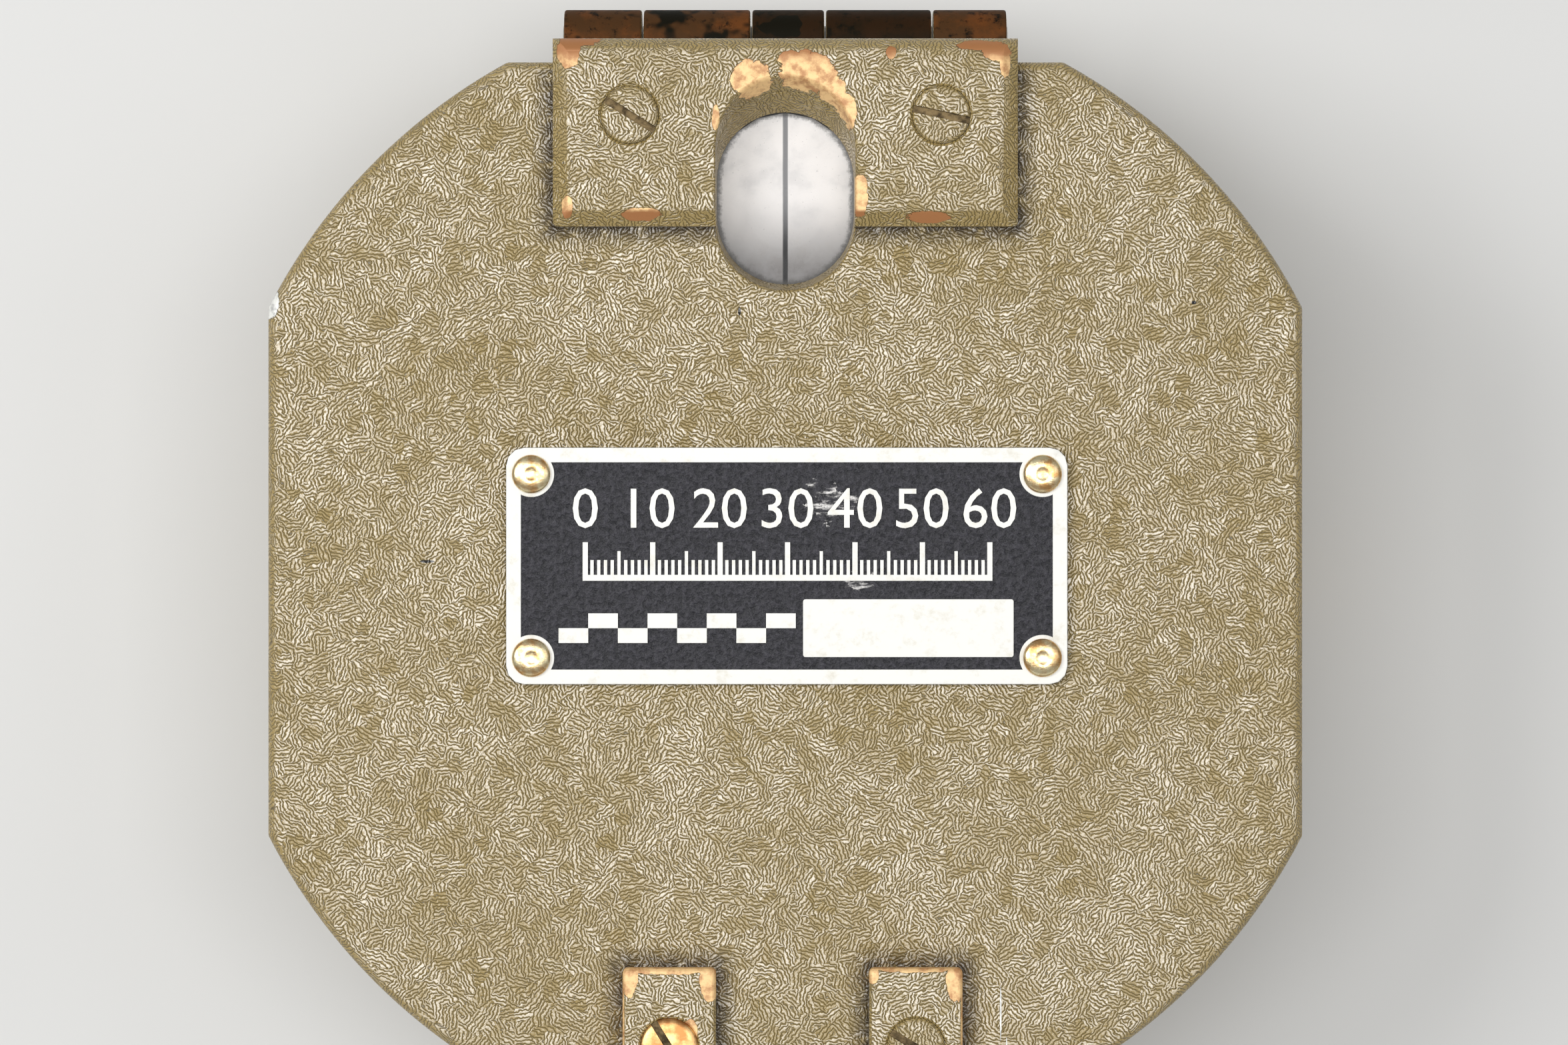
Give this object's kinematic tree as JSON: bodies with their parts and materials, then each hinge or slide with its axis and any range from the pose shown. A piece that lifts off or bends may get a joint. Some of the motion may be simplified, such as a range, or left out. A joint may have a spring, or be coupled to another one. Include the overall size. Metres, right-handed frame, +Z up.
{
  "type": "military compass",
  "caption": "Folding pocket compass in a cast case with mirrored cover, two hinged sights, geared azimuth ring, levels and a lifted magnetic needle.",
  "frame": {"origin": "middle of the flat back of the case, at its lowest plane, halfway between the two hinge ends", "axes": "+Z up out of the cover, +Y towards the cover hinge, +X towards the azimuth adjuster"},
  "size_m": [0.07, 0.0776, 0.029],
  "materials": {
    "painted_casting": "olive wrinkle paint on cast aluminium",
    "painted_brass": "olive wrinkle paint on brass, worn bright at the edges",
    "bare_brass": "aged brass",
    "worn_screw": "painted brass with a worn slot",
    "plate_print": "black etched plate with a white border",
    "blackened": "satin black lacquer on brass",
    "scale_black": "matt black with white divisions",
    "scale_silver": "satin silvered with black divisions",
    "steel": "satin",
    "blued_steel": "blued and polished",
    "mirror": "silvered glass with a clear sighting window",
    "glass": "polished",
    "level_glass": "glass filled with tinted spirit",
    "gasket": "matt",
    "jewel": "polished"
  },
  "bodies": {
    "body": {"compass_body": "painted_casting", "body_hinge_leaf": "painted_brass", "body_hinge_screw_left": "worn_screw", "body_hinge_screw_right": "worn_screw", "cover_hinge_pin": "steel", "window_gasket": "gasket", "body_window": "glass", "window_retaining_ring": "blackened", "scale_retaining_ring": "steel", "elevation_scale": "scale_silver", "adjuster_bushing": "bare_brass", "rear_sight_bracket": "painted_brass", "rear_sight_bracket_screw_left": "worn_screw", "rear_sight_bracket_screw_right": "worn_screw", "rear_sight_hinge_pin": "steel", "lifting_lever_pivot": "bare_brass", "lifter_spring": "steel"},
    "cover": {"cover": "painted_casting", "cover_hinge_leaf": "painted_brass", "cover_hinge_screw_left": "worn_screw", "cover_hinge_screw_right": "worn_screw", "mirror": "mirror", "mirror_backing": "blackened", "mirror_retaining_ring": "blackened", "data_plate": "plate_print", "data_plate_rivet_1": "bare_brass", "data_plate_rivet_2": "bare_brass", "data_plate_rivet_3": "bare_brass", "data_plate_rivet_4": "bare_brass", "front_sight_bracket_left": "painted_brass", "front_sight_bracket_right": "painted_brass", "front_sight_bracket_screw_left": "worn_screw", "front_sight_bracket_screw_right": "worn_screw", "front_sight_pin": "steel"},
    "front_sight": {"front_sight": "blackened"},
    "rear_sight_holder": {"rear_sight_holder": "blackened", "rear_sight_leaf_pin": "steel"},
    "rear_sight_leaf": {"rear_sight_leaf": "blackened"},
    "azimuth_scale": {"azimuth_scale": "scale_black"},
    "azimuth_adjuster": {"azimuth_adjuster": "bare_brass"},
    "level_arm": {"level_arm": "blackened", "tubular_level_housing": "bare_brass", "tubular_level_vial": "level_glass", "circular_level_cup": "bare_brass", "circular_level_lens": "level_glass", "lever_shaft": "steel", "needle_pivot": "steel", "actuating_lever": "blackened", "lever_washer": "bare_brass", "lever_screw": "steel"},
    "lifting_lever": {"needle_lifting_lever": "bare_brass"},
    "lifter_pin": {"lifter_pin": "bare_brass"},
    "needle_cap": {"jewel_housing": "bare_brass", "jewel": "jewel"},
    "needle": {"magnetic_needle": "blued_steel", "needle_counterweight": "bare_brass"}
  },
  "joints": [
    {"name": "cover_hinge", "type": "hinge", "parent": "body", "child": "cover", "pos_m": [0, 0.03675, 0.017], "axis": [-1, 0, 0], "range_deg": [0, 180]},
    {"name": "front_sight_hinge", "type": "hinge", "parent": "cover", "child": "front_sight", "pos_m": [0, -0.03705, 0.0217], "axis": [-1, 0, 0], "range_deg": [0, 180]},
    {"name": "rear_sight_holder_hinge", "type": "hinge", "parent": "body", "child": "rear_sight_holder", "pos_m": [0, -0.03695, 0.0176], "axis": [1, 0, 0], "range_deg": [0, 180]},
    {"name": "rear_sight_leaf_hinge", "type": "hinge", "parent": "rear_sight_holder", "child": "rear_sight_leaf", "pos_m": [0, 0.01455, 0.0183], "axis": [1, 0, 0], "range_deg": [0, 90]},
    {"name": "azimuth_scale_turn", "type": "hinge", "parent": "body", "child": "azimuth_scale", "pos_m": [0, 0, 0.0099], "axis": [0, 0, 1], "continuous": true},
    {"name": "azimuth_adjuster_turn", "type": "hinge", "parent": "body", "child": "azimuth_adjuster", "pos_m": [0.03, 0, 0.00692], "axis": [1, 0, 0], "continuous": true},
    {"name": "level_arm_turn", "type": "hinge", "parent": "body", "child": "level_arm", "pos_m": [0, 0, 0.005], "axis": [0, 0, 1], "range_deg": [-67.5, 67.5]},
    {"name": "lifting_lever_hinge", "type": "hinge", "parent": "body", "child": "lifting_lever", "pos_m": [-0.01697, 0.01697, 0.0072], "axis": [0.7071, 0.7071, 0], "range_deg": [0, 3.3]},
    {"name": "lifter_pin_slide", "type": "slide", "parent": "body", "child": "lifter_pin", "axis": [0, 0, 1], "range_m": [0, 0.0007]},
    {"name": "needle_lift", "type": "slide", "parent": "body", "child": "needle_cap", "axis": [0, 0, -1], "range_m": [0, 0.00125]},
    {"name": "needle_spin", "type": "hinge", "parent": "needle_cap", "child": "needle", "pos_m": [0, 0, 0.0135], "axis": [0, 0, 1], "continuous": true}
  ],
  "couplings": [
    {"joint": "front_sight_hinge", "follows": "cover_hinge", "ratio": 1},
    {"joint": "rear_sight_holder_hinge", "follows": "cover_hinge", "ratio": 0.5},
    {"joint": "rear_sight_leaf_hinge", "follows": "cover_hinge", "ratio": 0.5},
    {"joint": "lifting_lever_hinge", "follows": "cover_hinge", "ratio": 0.0172},
    {"joint": "lifter_pin_slide", "follows": "cover_hinge", "m_per_rad": 0.000207},
    {"joint": "needle_lift", "follows": "cover_hinge", "m_per_rad": 0.000382},
    {"joint": "azimuth_adjuster_turn", "follows": "azimuth_scale_turn", "ratio": -15}
  ]
}
